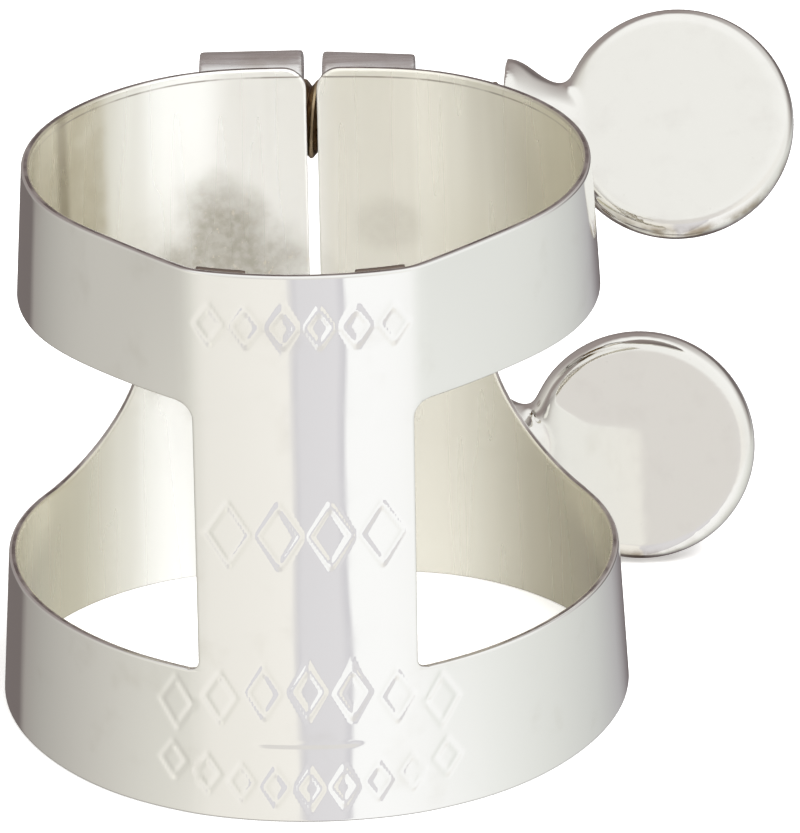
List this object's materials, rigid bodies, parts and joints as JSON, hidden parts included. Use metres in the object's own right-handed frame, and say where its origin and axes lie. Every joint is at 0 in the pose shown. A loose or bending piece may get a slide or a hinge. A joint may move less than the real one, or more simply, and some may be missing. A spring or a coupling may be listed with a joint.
{
  "type": "clarinet ligature",
  "caption": "Split tapered metal sleeve that clamps a reed to a clarinet mouthpiece, with side windows, reed rails and thumb screws with round flat heads.",
  "frame": {"origin": "centre of the wide rim's plane, on the axis of the mouthpiece", "axes": "+Z along the mouthpiece towards its tip, -Y towards the reed, screw heads on the +X side"},
  "size_m": [0.0376, 0.0345, 0.0275],
  "materials": {
    "nickel_sheet": "bright nickel plate, polished outside and satin inside",
    "rail_strip": "nickel plated strip, satin",
    "post_tube": "nickel plated tube, polished",
    "threaded_rod": "rolled thread, worn plating over brass",
    "cast_head": "bright nickel plate over a polished casting"
  },
  "bodies": {
    "sleeve": {"sleeve": "nickel_sheet", "reed_rail_left": "rail_strip", "reed_rail_right": "rail_strip", "threaded_post_upper": "post_tube", "plain_post_upper": "post_tube", "threaded_post_lower": "post_tube", "plain_post_lower": "post_tube"},
    "upper_shank": {"screw_shank_upper": "threaded_rod"},
    "upper_head": {"screw_head_upper": "cast_head"},
    "lower_shank": {"screw_shank_lower": "threaded_rod"},
    "lower_head": {"screw_head_lower": "cast_head"}
  },
  "joints": [
    {"name": "upper_travel", "type": "slide", "parent": "sleeve", "child": "upper_shank", "axis": [0.9976, -0.0698, 0], "range_m": [-0.0037, 0.00448]},
    {"name": "upper_turn", "type": "hinge", "parent": "upper_shank", "child": "upper_head", "pos_m": [0, 0.0149, 0.0226], "axis": [0.9976, -0.0698, 0], "range_deg": [-1941, 2350]},
    {"name": "lower_travel", "type": "slide", "parent": "sleeve", "child": "lower_shank", "axis": [0.9976, -0.0698, 0], "range_m": [-0.00165, 0.0063]},
    {"name": "lower_turn", "type": "hinge", "parent": "lower_shank", "child": "lower_head", "pos_m": [0, 0.01585, 0.0055], "axis": [0.9976, -0.0698, 0], "range_deg": [-866, 3305]}
  ],
  "couplings": [
    {"joint": "upper_turn", "follows": "upper_travel", "rad_per_m": 8976},
    {"joint": "lower_turn", "follows": "lower_travel", "rad_per_m": 8976}
  ]
}
